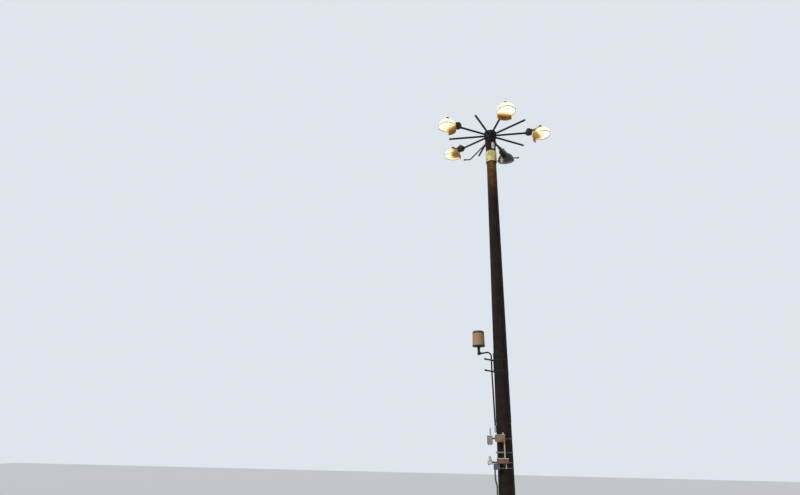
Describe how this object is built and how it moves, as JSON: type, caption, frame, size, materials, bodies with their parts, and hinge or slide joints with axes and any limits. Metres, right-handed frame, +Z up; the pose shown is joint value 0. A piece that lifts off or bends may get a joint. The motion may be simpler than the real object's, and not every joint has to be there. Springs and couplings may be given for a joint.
{
  "type": "high mast floodlight tower",
  "caption": "Tapered steel mast with a ring of radial arms carrying outward-tilted floodlights, an antenna on a gooseneck and pole-mounted equipment boxes.",
  "frame": {"origin": "centre of the base plate's underside, on the mast's axis", "axes": "+Z up along the mast; -Y is the side with the equipment boxes; +X to the right seen from that side"},
  "size_m": [3.5351, 3.6876, 24.6399],
  "materials": {
    "weathering_steel": "rough rust-brown patina",
    "dark_steel": "dull dark paint",
    "cream_paint": "weathered cream coating",
    "pale_cover": "satin",
    "lamp_casting": "textured dark enamel",
    "visor_metal": "aged yellow-brown",
    "prismatic_glass": "ribbed prismatic glass",
    "radome_plastic": "satin moulded shell",
    "grey_plastic": "matt moulded",
    "tan_paint": "satin powder coat",
    "galvanised": "dull zinc"
  },
  "bodies": {
    "mast": {"antenna_base": "dark_steel", "antenna_bracket": "dark_steel", "antenna_pipe": "dark_steel", "antenna_radome": "radome_plastic", "band_fitting": "cream_paint", "bare_arms": "dark_steel", "base_plate": "weathering_steel", "cabinet_conduit": "galvanised", "cabinet_hinge": "tan_paint", "collar_band": "dark_steel", "collar_sleeve": "cream_paint", "conduit_clamps": "galvanised", "cranked_bar_left": "dark_steel", "cranked_bar_right": "dark_steel", "drop_conduit": "galvanised", "equipment_rails": "galvanised", "grey_box": "grey_plastic", "hatch_cover": "weathering_steel", "hub_cap": "dark_steel", "hub_drum": "dark_steel", "lamp_1_ballast_housing": "lamp_casting", "lamp_1_glass_bell": "prismatic_glass", "lamp_1_rim_and_visor": "visor_metal", "lamp_1_socket_arm": "lamp_casting", "lamp_2_ballast_housing": "lamp_casting", "lamp_2_glass_bell": "prismatic_glass", "lamp_2_rim_and_visor": "visor_metal", "lamp_2_socket_arm": "lamp_casting", "lamp_3_ballast_housing": "lamp_casting", "lamp_3_glass_bell": "prismatic_glass", "lamp_3_rim_and_visor": "visor_metal", "lamp_3_socket_arm": "lamp_casting", "lamp_4_ballast_housing": "lamp_casting", "lamp_4_glass_bell": "prismatic_glass", "lamp_4_rim_and_visor": "visor_metal", "lamp_4_socket_arm": "lamp_casting", "lamp_5_ballast_housing": "lamp_casting", "lamp_5_glass_bell": "prismatic_glass", "lamp_5_rim_and_visor": "visor_metal", "lamp_5_socket_arm": "lamp_casting", "lamp_arms": "dark_steel", "left_unit": "grey_plastic", "lower_cabinet": "tan_paint", "mast_lower": "weathering_steel", "mast_middle": "weathering_steel", "mast_upper": "weathering_steel", "neck_cover": "pale_cover", "neck_tube": "weathering_steel", "pipe_coupling": "grey_plastic", "side_box": "grey_plastic", "upper_cabinet": "tan_paint"},
    "cabinet_door": {"upper_cabinet_door": "tan_paint"}
  },
  "joints": [
    {"name": "cabinet_door_hinge", "type": "hinge", "parent": "mast", "child": "cabinet_door", "pos_m": [-0.25, -0.36573, 14.962], "axis": [0, 0, -1], "range_deg": [0, 110]}
  ]
}
